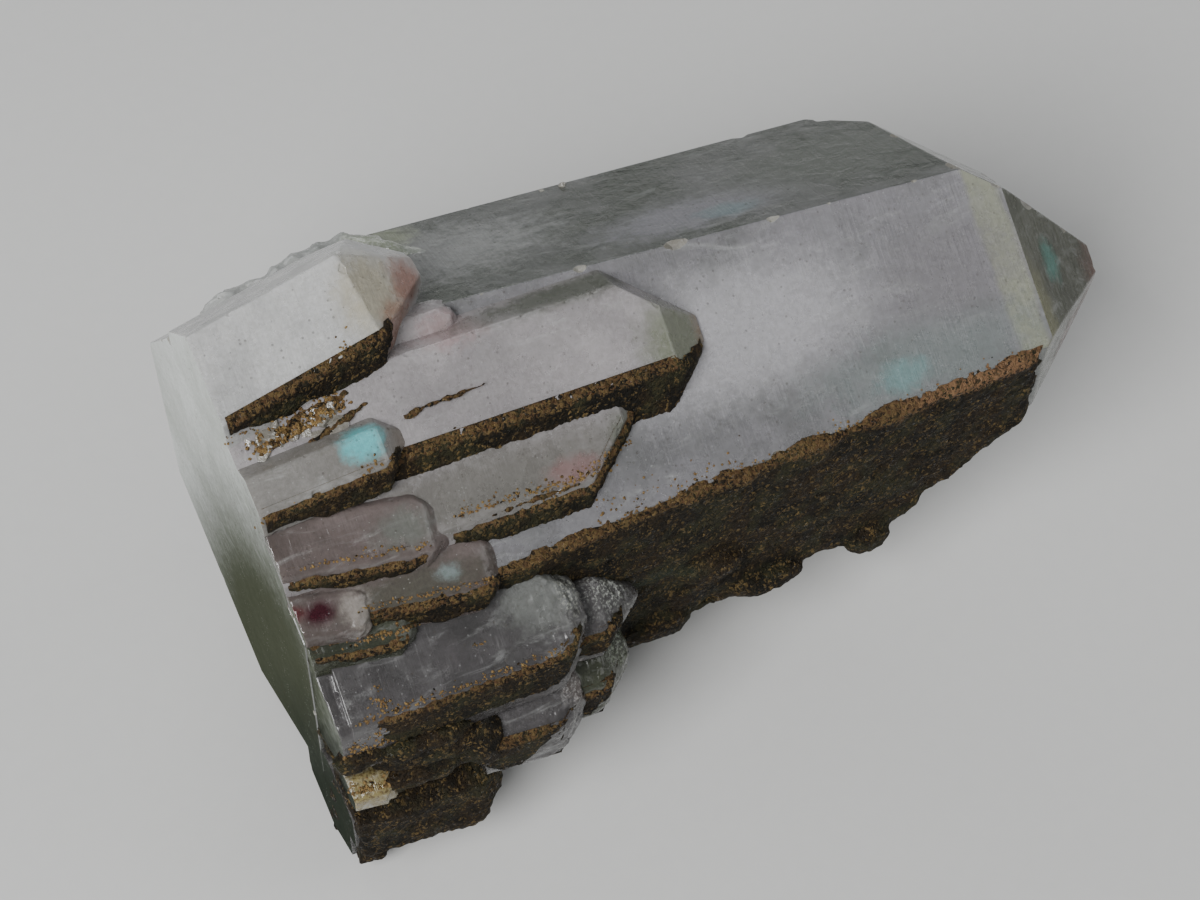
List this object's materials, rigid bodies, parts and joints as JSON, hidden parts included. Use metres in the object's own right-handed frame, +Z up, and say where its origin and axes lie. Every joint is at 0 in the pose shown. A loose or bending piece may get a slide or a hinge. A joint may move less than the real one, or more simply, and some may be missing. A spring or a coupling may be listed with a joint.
{
  "type": "ajoite in quartz crystal",
  "caption": "Large pointed milky quartz crystal with ajoite-tinted side crystals and a brown iron-stained crust, sawn flat at its root and lying on its side.",
  "frame": {"origin": "middle of the bounding box on the table that the specimen lies on", "axes": "+X along the long crystal from the sawn base to the point, +Z up from the table, -Y the crusted side with the lower side crystals"},
  "size_m": [0.1218, 0.0642, 0.0812],
  "materials": {
    "milky_quartz": "milky, pale violet-grey, cloudy inside with faint ajoite blue-green",
    "iron_stained_crust": "fine-grained brown crust, dull with small glints"
  },
  "bodies": {
    "root": {"quartz_cluster": "milky_quartz", "iron_stained_crust": "iron_stained_crust"}
  },
  "joints": []
}
